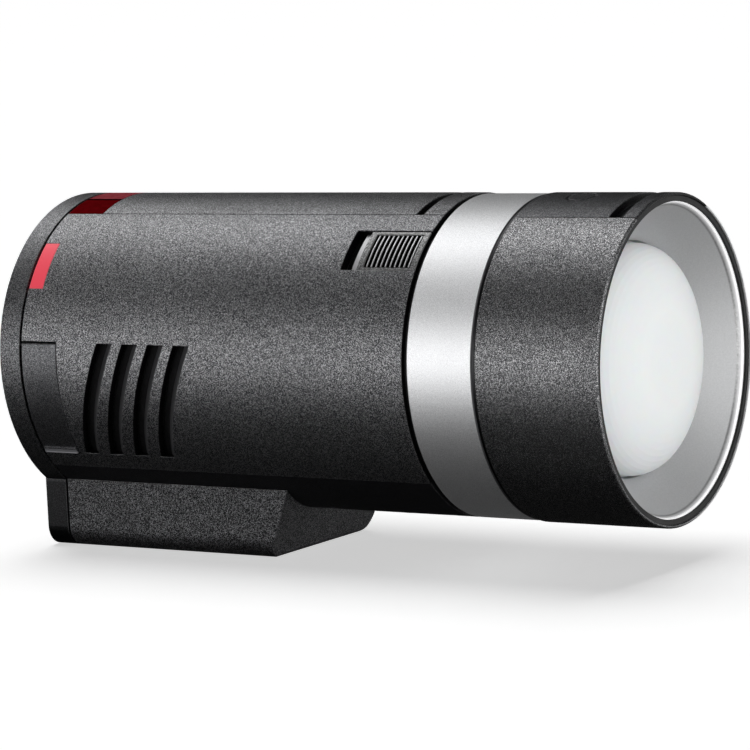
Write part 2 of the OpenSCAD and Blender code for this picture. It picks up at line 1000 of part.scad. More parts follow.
// Wall profile shared by the front barrel and its top strip
module front_wall(inset) {
    edge = 0.4;
    inner = front_in_r + inset;
    relief = [front_start + 3, 184.5];
    polygon([[inner, front_start], [barrel_r, front_start],
        [barrel_r, barrel_len - edge], [barrel_r - edge, barrel_len],
        [rim_seat_r, barrel_len], [rim_seat_r, rim_seat_x],
        [reflector_seat_r, rim_seat_x], [reflector_seat_r, reflector_seat_x],
        [inner, reflector_seat_x], [inner, relief[1]], [relief_r, relief[1]],
        [relief_r, relief[0]], [inner, relief[0]]]);
}

module front_barrel() {
    color(charcoal)
        placed()
            turned_arc(front_strip_deg, 360 - front_strip_deg)
                front_wall(0);
}

module front_top_strip() {
    half = front_strip_deg - seam_deg;
    mark_r = 3.9;
    mark_w = 1;
    mark_depth = 0.45;
    mark_at = [170.5, -6.4];
    color(charcoal)
        placed()
            difference() {
                turned_arc(-half, half)
                    front_wall(0.1);
                arc_plate(186, 188.8, -40, 40, barrel_r - 2.1, barrel_r + 1);
                arc_plate(188.7, 190.4, -40, 40, barrel_r - 1.1, barrel_r + 1);
                intersection() {
                    translate([mark_at[0], mark_at[1], 0])
                        linear_extrude(far)
                            ring(mark_r - mark_w / 2, mark_r + mark_w / 2);
                    along(front_start, 30)
                        ring(barrel_r - mark_depth, barrel_r + 1);
                }
            }
}

module front_rim() {
    inner = 42.6;
    face = barrel_len - 0.4;
    color(black)
        placed()
            turned()
                polygon([[reflector_seat_r, rim_seat_x + 0.1], [rim_seat_r - 0.1, rim_seat_x + 0.1],
                    [rim_seat_r - 0.1, face], [inner, face], [inner, face - 0.7], [reflector_seat_r, face - 0.7]]);
}

module reflector() {
    throat_r = dome_r + 0.7;
    color("#b9babc")
        placed()
            turned()
                polygon([[throat_r, 177.4], [throat_r, 180.4], [41.5, 191.4], [42.5, 193.1],
                    [43, 193.1], [43, 190.8], [42.3, 190.8], [33.8, 180.9], [33.8, 178.6],
                    [36.5, 178.6], [36.5, 177.4]]);
}

// Point of the dome's superellipse profile as [radius, x]
function dome_point(r, h, t) = [r * pow(max(cos(t), 0), 2 / 3), dome_base_x + h * pow(sin(t), 2 / 3)];

module dome() {
    step = 6;
    color("#f4f4f2")
        placed()
            turned()
                polygon(concat(
                    [[dome_r - dome_t, dome_flange_x], [dome_r + 2.7, dome_flange_x],
                        [dome_r + 2.7, dome_flange_x + 2], [dome_r, dome_flange_x + 2]],
                    [for (t = [0:step:90]) dome_point(dome_r, dome_h, t)],
                    [for (t = [90:-step:0]) dome_point(dome_r - dome_t, dome_h - dome_t, t)]));
}

module dome_seal() {
    color("#7d7f82")
        placed()
            along(dome_flange_x - 1.3, 1.2)
                ring(dome_r - 0.5, dome_r + 2.5);
}

module led_board() {
    board_top = led_x + board_t;
    color("#e9e6da")
        placed() {
            along(led_x, board_t)
                ring(socket_r + 0.6, 33.5);
            for (row = [20, 25.5, 31])
                for (turn = [0:20:340]) {
                    p = at(row, turn);
                    block([board_top, board_top + 0.9], [p[0] - 1.4, p[0] + 1.4], [p[1] - 1.4, p[1] + 1.4]);
                }
        }
}

module led_heat_sink() {
    base_x = led_x - 2.1;
    fin_x = 145;
    fin_t = 0.8;
    color(silver)
        placed() {
            along(base_x, 2)
                ring(socket_r + 0.4, 34);
            along(fin_x, base_x + 0.1 - fin_x)
                intersection() {
                    ring(socket_r + 0.4, 34);
                    for (i = [-6:6])
                        translate([i * 5 - fin_t / 2, -far])
                            square([fin_t, 2 * far]);
                }
        }
}

module flash_tube() {
    gap_deg = 30;
    legs = [at(tube_ring_r, gap_deg), at(tube_ring_r, -gap_deg)];
    color("#dfe7ee")
        placed() {
            translate([tube_x, 0, 0])
                turned_arc(gap_deg, 360 - gap_deg)
                    translate([tube_ring_r, 0])
                        circle(tube_r);
            for (p = legs) {
                translate([tube_x, p[0], p[1]])
                    sphere(tube_r + 0.4);
                rod(152, tube_x - 152, tube_r - 0.8, p[0], p[1]);
            }
        }
}

module tube_socket() {
    gap_deg = 30;
    color("#eeeae0")
        placed()
            difference() {
                rod(socket_x, 12, socket_r);
                rod(socket_x - 1, 14, 6);
                for (side = [-1, 1]) {
                    p = at(tube_ring_r, side * gap_deg);
                    rod(151.5, 20, tube_r - 0.7, p[0], p[1]);
                }
            }
}

// ---- Base mount ----

module mount_plate() {
    color(steel)
        placed()
            difference() {
                intersection() {
                    block([mount_x - 12, mount_x + 12], [-12, 12], [-44, insert_z[1]]);
                    rod(90, 40, shell_in_r - 0.3);
                }
                translate([mount_x, 0, -far])
                    cylinder(r = insert_r + 0.1, h = far);
            }
}

module thread_insert() {
    color("#c9a227")
        placed()
            translate([mount_x, 0, insert_z[0]])
                difference() {
                    cylinder(r = insert_r, h = insert_z[1] - insert_z[0]);
                    translate([0, 0, -1])
                        cylinder(r = thread_r, h = insert_z[1] - insert_z[0] + 2);
                }
}

module base_screws() {
    color(steel)
        placed()
            for (p = base_screw_at)
                translate([p[0], p[1], -42.8])
                    difference() {
                        union() {
                            cylinder(r = 2.5, h = 1.3);
                            translate([0, 0, 1.2])
                                cylinder(r = 1.4, h = 5);
                        }
                        for (turn = [0, 90])
                            rotate(turn)
                                cube([2.6, 0.6, 1.4], center = true);
                    }
}

rear_bezel();
control_panel();
display_window();
display_module();
control_board();
rotary_encoder();
panel_screws();
control_dial();
set_button();
power_button();
test_button();
menu_button();
mode_button();
group_button();
lamp_button();
left_shell();
right_shell();
top_cover();
base_cover();
sensor_window();
optical_sensor();
side_marker();
port_cover();
port_plate();
usb_socket();
sync_jack();
release_slide();
slide_spring();
battery_housing();
battery_case();
battery_cap();
battery_cells();
battery_contacts();
battery_latch();
bay_contacts();
deck();
capacitors();
transformer();
main_board();
trigger_coil();
power_heat_sink();
fan_frame();
fan_rotor();
front_bulkhead();
front_sleeve();
silver_ring();
trim_ring();
front_barrel();
front_top_strip();
front_rim();
reflector();
dome();
dome_seal();
led_board();
led_heat_sink();
flash_tube();
tube_socket();
mount_plate();
thread_insert();
base_screws();
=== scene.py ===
"""Looks for a battery monolight strobe: materials, prints, black sheets of painted shade behind the air
slots, studio lights and the camera.
"""

import math

import bmesh
import bpy
from mathutils import Matrix, Vector


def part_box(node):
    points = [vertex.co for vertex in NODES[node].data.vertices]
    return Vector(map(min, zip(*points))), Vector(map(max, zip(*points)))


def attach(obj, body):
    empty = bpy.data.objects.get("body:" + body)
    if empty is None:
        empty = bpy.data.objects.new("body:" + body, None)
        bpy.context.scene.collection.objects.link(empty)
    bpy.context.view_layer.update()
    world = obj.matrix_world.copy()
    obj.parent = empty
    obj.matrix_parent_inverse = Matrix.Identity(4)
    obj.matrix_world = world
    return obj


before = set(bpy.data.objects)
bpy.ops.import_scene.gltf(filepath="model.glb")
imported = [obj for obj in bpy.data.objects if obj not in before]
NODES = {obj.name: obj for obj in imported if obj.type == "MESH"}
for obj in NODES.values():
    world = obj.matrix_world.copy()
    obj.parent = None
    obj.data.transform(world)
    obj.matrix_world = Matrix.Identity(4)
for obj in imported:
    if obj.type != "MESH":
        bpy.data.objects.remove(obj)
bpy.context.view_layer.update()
MM = 0.001
SHEET = 0.3 * MM

# The barrel's axis and radius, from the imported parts
RING_LO, RING_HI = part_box("silver_ring")
BACK_LO, BACK_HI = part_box("rear_bezel")
AXIS_Z = (RING_LO.z + RING_HI.z) / 2
BARREL_R = (BACK_HI.y - BACK_LO.y) / 2


# ---- Material building ----


class Look:
    """One Principled material, with short calls for the nodes that feed it."""

    def __init__(self, name, **sockets):
        self.material = bpy.data.materials.new(name)
        self.material.use_nodes = True
        self.nodes = self.material.node_tree.nodes
        self.links = self.material.node_tree.links
        self.shader = self.nodes["Principled BSDF"]
        for socket, value in sockets.items():
            self.shader.inputs[socket.replace("_", " ")].default_value = value
        self.place = self.nodes.new("ShaderNodeTexCoord").outputs["Object"]

    def node(self, kind, inputs, **settings):
        made = self.nodes.new("ShaderNode" + kind)
        for key, value in settings.items():
            setattr(made, key, value)
        for key, value in inputs.items():
            if isinstance(value, bpy.types.NodeSocket):
                self.links.new(value, made.inputs[key])
            else:
                made.inputs[key].default_value = value
        return made

    def stretched(self, scale):
        return self.node("Mapping", {"Vector": self.place, "Scale": scale}).outputs[0]

    def noise(self, scale, detail=2.0, rough=0.55, place=None):
        vector = self.place if place is None else place
        inputs = {"Vector": vector, "Scale": scale, "Detail": detail, "Roughness": rough}
        return self.node("TexNoise", inputs).outputs[0]

    def grains(self, scale):
        """A different value for each small grain."""
        cells = self.node("TexVoronoi", {"Vector": self.place, "Scale": scale})
        return self.node("SeparateColor", {0: cells.outputs["Color"]}).outputs[0]

    def along(self, axis):
        """The X, Y or Z of the shaded point, for an axis of 0, 1 or 2."""
        return self.node("SeparateXYZ", {0: self.place}).outputs[axis]

    def rise(self):
        """Height above the barrel's axis."""
        return self.maths("SUBTRACT", self.along(2), AXIS_Z)

    def radius(self):
        """Distance from the barrel's axis."""
        across, up = self.along(1), self.rise()
        squares = self.maths("ADD", self.maths("MULTIPLY", across, across), self.maths("MULTIPLY", up, up))
        return self.maths("SQRT", squares)

    def within(self, low, high, amount=1.0):
        """`amount` inside the radius BARREL_R + low, falling to 0 at BARREL_R + high."""
        return self.fade(self.radius(), BARREL_R + low, BARREL_R + high, amount, 0.0)

    def maths(self, operation, *values, clamp=False):
        inputs = dict(enumerate(values))
        return self.node("Math", inputs, operation=operation, use_clamp=clamp).outputs[0]

    def fade(self, value, low, high, to_low=0.0, to_high=1.0):
        inputs = {0: value, 1: low, 2: high, 3: to_low, 4: to_high}
        return self.node("MapRange", inputs).outputs[0]

    def blend(self, factor, first, second):
        made = self.node("Mix", {0: factor}, data_type="RGBA")
        for socket, value in ((6, first), (7, second)):
            if isinstance(value, bpy.types.NodeSocket):
                self.links.new(value, made.inputs[socket])
            else:
                made.inputs[socket].default_value = (*value, 1)
        return made.outputs[2]

    def ramp(self, factor, *stops):
        made = self.node("ValToRGB", {0: factor})
        line = made.color_ramp.elements
        while len(line) < len(stops):
            line.new(0.5)
        for element, (at, colour) in zip(line, stops):
            element.position = at
            element.color = (*colour, 1)
        return made.outputs[0]

    def edges(self, radius):
        """1 along sharp edges and 0 on open faces, and the rounded normal that goes with it."""
        soft = self.node("Bevel", {"Radius": radius}, samples=4).outputs[0]
        flat = self.node("NewGeometry", {}).outputs["Normal"]
        turn = self.node("VectorMath", {0: soft, 1: flat}, operation="DOT_PRODUCT")
        return self.fade(turn.outputs["Value"], 0.995, 0.75), soft

    def relief(self, height, distance, strength=1.0, normal=None):
        inputs = {"Height": height, "Distance": distance, "Strength": strength}
        if normal is not None:
            inputs["Normal"] = normal
        return self.node("Bump", inputs).outputs[0]

    def feed(self, **sockets):
        for socket, value in sockets.items():
            self.links.new(value, self.shader.inputs[socket.replace("_", " ")])
        return self.material


def powder(name, dark, fleck, grain, relief, rough, metal, painted_groove_shade=True, calm=None, lip=None, front_face_painted_light=None):
    """Powder-textured plastic: a dark ground, small glinting flecks, and edges a little lighter, partly
    rubbed wear and partly painted highlight.

    `painted_groove_shade` blackens grooves sunk into the barrel as painted shade, `calm` smooths and darkens
    what lies under that height,
    `lip` is the lighter colour of the bar that stands proud of the port cover, with a paler painted highlight
    along its bottom line, and `front_face_painted_light` is a pale painted highlight on the barrel's front
    face, towards its far side where the light catches it.
    """
    k = Look(name)
    fine = k.noise(grain, 2.0, 0.6)
    spots = k.grains(grain)
    cloud = k.noise(28.0, 3.0)
    ground = k.ramp(
        fine,
        (0.37, [c * 0.06 for c in dark]),
        (0.50, dark),
        (0.63, [c * 2.4 for c in dark]),
    )
    colour = k.blend(k.fade(spots, 0.52, 0.98), ground, fleck)
    shade = k.blend(k.fade(cloud, 0.3, 0.7, 0.0, 0.14), colour, (0.0, 0.0, 0.0))
    rough_level = k.fade(fine, 0.3, 0.7, rough - 0.06, rough + 0.08)
    height = k.maths("ADD", fine, k.maths("MULTIPLY", spots, 0.5))
    if painted_groove_shade:
        # Painted shade: where the surface lies sunk below the barrel, the colour is blended to black.
        shade = k.blend(k.within(-0.45 * MM, -0.12 * MM, 0.94), shade, (0.001, 0.001, 0.001))
    if calm is not None:
        low = k.fade(k.along(2), calm - 1 * MM, calm + 2 * MM, 1.0, 0.0)
        shade = k.blend(k.maths("MULTIPLY", low, 0.92), shade, [c * 0.14 for c in dark])
        height = k.maths("MULTIPLY", height, k.fade(low, 0.0, 1.0, 1.0, 0.2))
    metallic = k.fade(spots, 0.2, 0.9, metal - 0.1, metal)
    if lip is not None:
        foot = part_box("port_cover")[0].z
        # Painted highlight: the bar's bottom line is painted 2.4 times paler than the bar, for the light it
        # catches.
        highlight_band_top = k.fade(k.along(2), foot + 0.60 * MM, foot + 0.72 * MM)
        bar_tone_with_highlight = k.blend(highlight_band_top, [c * 2.4 for c in lip], lip)
        below_top = k.fade(k.along(2), foot + 1.40 * MM, foot + 1.50 * MM, 1.0, 0.0)
        above_foot = k.fade(k.along(2), foot + 0.30 * MM, foot + 0.36 * MM)
        proud = k.fade(k.within(0.08 * MM, 0.25 * MM), 0.0, 1.0, 1.0, 0.0)
        shown = k.maths("MULTIPLY", proud, k.maths("MULTIPLY", below_top, above_foot))
        shade = k.blend(shown, shade, bar_tone_with_highlight)
        metallic = k.maths("MULTIPLY", metallic, k.fade(shown, 0.0, 1.0, 1.0, 0.0))
    if front_face_painted_light is not None:
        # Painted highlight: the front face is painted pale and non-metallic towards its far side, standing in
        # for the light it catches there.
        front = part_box("front_barrel")[1].x
        tip = k.fade(k.along(0), front - 0.55 * MM, front - 0.40 * MM)
        lit = k.maths("MULTIPLY", tip, k.fade(k.along(1), 0.0, 22 * MM))
        shade = k.blend(lit, shade, front_face_painted_light)
        metallic = k.maths("MULTIPLY", metallic, k.fade(lit, 0.0, 1.0, 1.0, 0.0))
    edge_mask, soft = k.edges(0.25 * MM)
    # Edges painted lighter: partly rubbed wear, partly painted highlight where the rounded edge catches the
    # light.
    wear = k.maths("MULTIPLY", edge_mask, k.fade(k.noise(160.0), 0.35, 0.65, 0.25, 0.5))
    return k.feed(
        Base_Color=k.blend(wear, shade, (0.28, 0.28, 0.29)),
        Metallic=metallic,
        Roughness=rough_level,
        Normal=k.relief(height, relief, 1.0, soft),
    )


def slide_powder():
    """The slide: body powder on its frame, a pale painted highlight on the rib tops and rear ledge, black
    painted shade between the ribs, and a painted highlight on its edges.
    """
    k = Look("slide_powder")
    fine = k.noise(6400.0, 2.0, 0.6)
    spots = k.grains(6400.0)
    ground = k.ramp(fine, (0.32, (0.014,) * 3), (0.66, (0.15,) * 3))
    frame_tone = k.blend(k.fade(spots, 0.52, 0.98), ground, (0.5,) * 3)
    # Painted highlight and shade: the rib tops are painted pale and the deep grooves between them black.
    rib_highlight_and_groove_shade = k.blend(k.within(-0.75 * MM, -0.5 * MM), (0.62, 0.62, 0.63), (0.002, 0.002, 0.002))
    tone = k.blend(k.within(-0.27 * MM, -0.23 * MM), frame_tone, rib_highlight_and_groove_shade)
    ledge_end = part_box("release_slide")[0].x + 2.15 * MM
    # Painted highlight: the sloped rear ledge is painted pale.
    ledge = k.fade(k.along(0), ledge_end, ledge_end + 0.1 * MM, 1.0, 0.0)
    ledge_with_highlight = k.blend(ledge, tone, (0.50, 0.50, 0.51))
    edge_mask, soft = k.edges(0.15 * MM)
    return k.feed(
        # Painted highlight: edges are painted lighter.
        Base_Color=k.blend(k.maths("MULTIPLY", edge_mask, 0.4), ledge_with_highlight, (0.34, 0.34, 0.35)),
        Metallic=k.fade(spots, 0.2, 0.9, 0.86, 0.96),
        Roughness=k.fade(fine, 0.3, 0.7, 0.32, 0.44),
        Normal=k.relief(k.maths("ADD", fine, spots), 0.03 * MM, 1.0, soft),
    )


def satin_reflector():
    """Satin cone whose rounded lip goes from a mottled painted shade, darker towards its top and bottom,
    through a paler painted highlight to a pure white line of painted highlight that glows faintly.
    """
    # Painted light: emission makes the lip's white line glow faintly; the reflector is no lamp.
    k = Look("reflector_satin", Emission_Strength=0.35)
    blast = k.noise(2400.0, 2.0, 0.6)
    cloud = k.noise(24.0, 3.0)
    cone = k.within(-3.6 * MM, -3.3 * MM)
    line = k.within(-2.85 * MM, -2.65 * MM)
    base = k.ramp(blast, (0.25, (0.44, 0.445, 0.45)), (0.75, (0.52, 0.525, 0.53)))
    clouded = k.blend(k.fade(cloud, 0.35, 0.75, 0.0, 0.1), base, (0.42, 0.42, 0.43))
    # Painted shade: the lip is painted darker the further it lies above or below the axis.
    shaded = k.fade(k.maths("ABSOLUTE", k.rise()), 4 * MM, 20 * MM, 0.50, 0.14)
    mottled = k.maths("MULTIPLY", shaded, k.fade(k.noise(1100.0, 3.0, 0.7), 0.35, 0.65, 0.7, 1.4))
    # Painted highlight: the lip pales towards its outer edge, then turns white at the line.
    turning = k.fade(k.radius(), BARREL_R - 3.35 * MM, BARREL_R - 2.8 * MM)
    lip = k.blend(turning, mottled, (0.86, 0.86, 0.87))
    soft = k.edges(0.2 * MM)[1]
    return k.feed(
        Base_Color=k.blend(line, (1.0, 1.0, 1.0), k.blend(cone, lip, clouded)),
        Metallic=k.fade(cone, 0.0, 1.0, 0.0, 0.4),
        Roughness=k.fade(cone, 0.0, 1.0, 0.3, 0.5),
        Emission_Color=k.blend(line, (1.0, 1.0, 1.0), (0.0, 0.0, 0.0)),
        Normal=k.relief(blast, 0.006 * MM, 1.0, soft),
    )


def moulded(name, colour, rough, grain=1500.0, relief=0.012 * MM, lift=1.5, **sockets):
    """Plain moulded plastic: fine grain, faint flow marks, handling shine and lighter edges, partly wear and
    partly painted highlight.
    """
    k = Look(name, **sockets)
    fine = k.noise(grain, 3.0, 0.6)
    flow = k.noise(40.0, 4.0, place=k.stretched((0.4, 1.0, 1.0)))
    rubs = k.noise(120.0, 2.0)
    base = k.ramp(fine, (0.3, [c * 0.78 for c in colour]), (0.7, [min(1, c * 1.15) for c in colour]))
    tinted = k.blend(k.fade(flow, 0.3, 0.75, 0.0, 0.16), base, [c * 0.6 for c in colour])
    edge_mask, soft = k.edges(0.2 * MM)
    # Edges painted lighter: partly wear, partly painted highlight.
    lighter = [min(1.0, c * lift + 0.02) for c in colour]
    worn_and_highlit = k.blend(k.maths("MULTIPLY", edge_mask, 0.45), tinted, lighter)
    return k.feed(
        Base_Color=worn_and_highlit,
        Roughness=k.fade(rubs, 0.35, 0.7, rough - 0.06, rough + 0.07),
        Normal=k.relief(fine, relief, 1.0, soft),
    )


def metal(name, colour, rough, grain=2600.0, relief=0.006 * MM, brush=None, lift=1.1):
    """Metal with a blasted or brushed skin, slight clouding and a painted highlight on its edges."""
    k = Look(name, Metallic=1.0)
    place = k.stretched(brush) if brush else k.place
    fine = k.noise(grain, 2.0, 0.6, place=place)
    cloud = k.noise(22.0, 3.0)
    base = k.ramp(fine, (0.25, [c * 0.86 for c in colour]), (0.75, [min(1, c * 1.08) for c in colour]))
    dulled = k.blend(k.fade(cloud, 0.35, 0.75, 0.0, 0.10), base, [c * 0.75 for c in colour])
    edge_mask, soft = k.edges(0.2 * MM)
    # Painted highlight: edges are painted brighter.
    bright = [min(1.0, c * lift) for c in colour]
    return k.feed(
        Base_Color=k.blend(k.maths("MULTIPLY", edge_mask, 0.6), dulled, bright),
        Roughness=k.fade(fine, 0.3, 0.7, rough - 0.05, rough + 0.06),
        Normal=k.relief(fine, relief, 1.0, soft),
    )


def silver_skin():
    """Bead-blasted silver with visible fine grain, a painted highlight on its edges that shows on the rear
    chamfer, and painted shade on the front chamfer.
    """
    k = Look("silver_blasted", Metallic=1.0)
    blast = k.noise(5200.0, 2.0, 0.7)
    cloud = k.noise(30.0, 3.0)
    base = k.ramp(blast, (0.34, (0.62, 0.625, 0.635)), (0.66, (0.95, 0.955, 0.965)))
    clouded = k.blend(k.fade(cloud, 0.35, 0.75, 0.0, 0.08), base, (0.60, 0.61, 0.62))
    # Painted shade: the front chamfer is painted dark.
    front = k.fade(k.along(0), RING_HI.x - 0.50 * MM, RING_HI.x - 0.30 * MM)
    edge_mask, soft = k.edges(0.15 * MM)
    # Painted highlight: edges are painted paler.
    edge_highlighted_silver = k.blend(k.maths("MULTIPLY", edge_mask, 0.5), clouded, (0.95, 0.95, 0.96))
    return k.feed(
        Base_Color=k.blend(front, edge_highlighted_silver, (0.10, 0.10, 0.105)),
        Roughness=k.fade(blast, 0.3, 0.7, 0.44, 0.56),
        Normal=k.relief(blast, 0.04 * MM, 1.0, soft),
    )


def sensor_red():
    """Dark red tinted window: smooth below its crease, rougher on the upper facet and painted paler there as
    a painted reflection of the top light, black as painted shade in the crease and where it lies below the
    barrel's surface, with a painted highlight on its edges.
    """
    k = Look("sensor_red", Specular_IOR_Level=0.0)
    high = k.fade(k.rise(), BARREL_R * 0.974, BARREL_R * 0.980)
    # Painted shade: a black band along the crease.
    crease_painted_shade = k.maths("COMPARE", k.rise(), BARREL_R * 0.976, 0.13 * MM)
    dust = k.noise(420.0, 4.0, 0.65)
    base = k.ramp(dust, (0.3, (0.085, 0.001, 0.002)), (0.7, (0.13, 0.002, 0.004)))
    # Painted reflection: the upper facet is painted paler and pinker.
    upper_facet_painted_reflection = k.ramp(dust, (0.3, (0.22, 0.030, 0.040)), (0.7, (0.32, 0.060, 0.072)))
    edge_mask, soft = k.edges(0.25 * MM)
    # Painted shade: black where the window lies below the barrel's surface.
    body = k.blend(k.within(-0.3 * MM, -0.08 * MM), k.blend(high, base, upper_facet_painted_reflection), (0.004, 0.0, 0.0))
    # Painted highlight: edges are painted paler.
    edge_highlighted_red = k.blend(k.maths("MULTIPLY", edge_mask, 0.3), body, (0.42, 0.10, 0.11))
    return k.feed(
        Base_Color=k.blend(crease_painted_shade, edge_highlighted_red, (0.003, 0.0, 0.0)),
        Roughness=k.fade(high, 0.0, 1.0, 0.22, 0.5),
        Normal=k.relief(dust, 0.003 * MM, 1.0, soft),
    )


def satin_red(name, colour, lit=0.0):
    """Satin red plastic with a painted highlight on its edges, and a faint painted glow where `lit` is set,
    as on the side marker, which is no lamp.
    """
    k = Look(name, Coat_Weight=0.2, Coat_Roughness=0.3, Emission_Color=(*colour, 1), Emission_Strength=lit)
    fine = k.noise(1800.0, 3.0)
    cloud = k.noise(90.0, 2.0)
    base = k.ramp(fine, (0.3, [c * 0.9 for c in colour]), (0.7, [min(1, c * 1.05) for c in colour]))
    deeper = k.blend(k.fade(cloud, 0.35, 0.7, 0.0, 0.15), base, [c * 0.7 for c in colour])
    edge_mask, soft = k.edges(0.2 * MM)
    return k.feed(
        # Painted highlight: edges are painted paler.
        Base_Color=k.blend(k.maths("MULTIPLY", edge_mask, 0.5), deeper, (0.92, 0.42, 0.42)),
        Roughness=k.fade(cloud, 0.3, 0.7, 0.36, 0.48),
        Normal=k.relief(fine, 0.008 * MM, 1.0, soft),
    )


def frosted_glass():
    """Acid-frosted glass: bright, almost flat white, painted darker and cooler towards its rim as painted
    shade, with a fine etched grain.
    """
    k = Look("frosted_glass", IOR=1.45, Subsurface_Weight=0.25, Subsurface_Scale=0.004)
    etch = k.noise(2400.0, 3.0, 0.6)
    cloud = k.noise(34.0, 3.0)
    lo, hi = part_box("dome")
    # Painted shade: the dome is painted darker and cooler from its middle out to its rim.
    rim = k.fade(k.radius(), (hi.z - lo.z) * 0.20, (hi.z - lo.z) * 0.49)
    base = k.blend(rim, (0.96, 0.96, 0.96), (0.78, 0.795, 0.81))
    soft = k.blend(k.fade(cloud, 0.3, 0.7, 0.0, 0.05), base, (0.80, 0.81, 0.82))
    return k.feed(
        Base_Color=soft,
        Roughness=k.fade(etch, 0.3, 0.7, 0.42, 0.56),
        Normal=k.relief(etch, 0.008 * MM),
    )


def display_glass():
    """Dark gloss window with a faint cool tint, a few fingerprints and a hairline painted highlight on its
    edge.
    """
    k = Look("display_glass", IOR=1.5, Coat_Weight=0.6, Coat_Roughness=0.04)
    prints = k.noise(210.0, 5.0, 0.7)
    wide = k.noise(36.0, 2.0)
    mask = k.maths("MULTIPLY", k.fade(prints, 0.5, 0.75), k.fade(wide, 0.5, 0.7))
    edge_mask, soft = k.edges(0.15 * MM)
    base = k.ramp(wide, (0.3, (0.006, 0.009, 0.013)), (0.7, (0.010, 0.014, 0.020)))
    return k.feed(
        # Painted highlight: edges are painted paler.
        Base_Color=k.blend(k.maths("MULTIPLY", edge_mask, 0.5), base, (0.14, 0.16, 0.18)),
        Roughness=k.fade(mask, 0.0, 1.0, 0.06, 0.22),
        Normal=k.relief(prints, 0.0008 * MM, 1.0, soft),
    )


def glow(name, colour, strength):
    """Lit display ink with a slight pixel grid."""
    k = Look(name, Emission_Strength=strength, Roughness=0.4)
    grid = k.node("TexVoronoi", {"Vector": k.place, "Scale": 2600.0}).outputs[0]
    tone = k.ramp(grid, (0.1, colour), (0.9, [c * 0.75 for c in colour]))
    return k.feed(Base_Color=tone, Emission_Color=tone)


def circuit_board(name, mask, copper):
    """Solder mask with faint tracks, pads and speckle."""
    k = Look(name, Coat_Weight=0.25, Coat_Roughness=0.2)
    tracks = k.node("TexBrick", {"Vector": k.place, "Scale": 160.0, "Mortar Size": 0.03}).outputs["Fac"]
    pads = k.node("TexVoronoi", {"Vector": k.place, "Scale": 420.0}).outputs[0]
    speck = k.noise(900.0, 2.0)
    base = k.ramp(speck, (0.3, [c * 0.8 for c in mask]), (0.7, [min(1, c * 1.2) for c in mask]))
    lined = k.blend(k.maths("MULTIPLY", tracks, 0.5), base, [min(1, c * 2.0 + 0.01) for c in mask])
    dotted = k.blend(k.fade(pads, 0.16, 0.10), lined, copper)
    return k.feed(
        Base_Color=dotted,
        Roughness=k.fade(speck, 0.3, 0.7, 0.35, 0.55),
        Normal=k.relief(k.maths("ADD", tracks, speck), 0.02 * MM),
    )


def clear_quartz():
    k = Look("tube_glass", IOR=1.46, Transmission_Weight=0.85)
    haze = k.noise(180.0, 3.0)
    return k.feed(
        Base_Color=k.ramp(haze, (0.3, (0.82, 0.88, 0.92)), (0.7, (0.95, 0.97, 0.98))),
        Roughness=k.fade(haze, 0.3, 0.7, 0.03, 0.14),
        Normal=k.relief(haze, 0.01 * MM),
    )


def wound(name, colour, turns):
    """Tape or windings: fine rings round the barrel's direction, with a soft sheen."""
    k = Look(name)
    bands = k.node(
        "TexWave",
        {"Vector": k.place, "Scale": turns, "Distortion": 1.5, "Detail": 2.0, "Detail Scale": 3.0},
        bands_direction="X",
    ).outputs[0]
    grime = k.noise(140.0, 3.0)
    base = k.ramp(bands, (0.2, [c * 0.6 for c in colour]), (0.8, [min(1, c * 1.2) for c in colour]))
    return k.feed(
        Base_Color=k.blend(k.fade(grime, 0.4, 0.7, 0.0, 0.3), base, [c * 0.5 for c in colour]),
        Roughness=k.fade(grime, 0.3, 0.7, 0.35, 0.6),
        Normal=k.relief(bands, 0.05 * MM),
    )


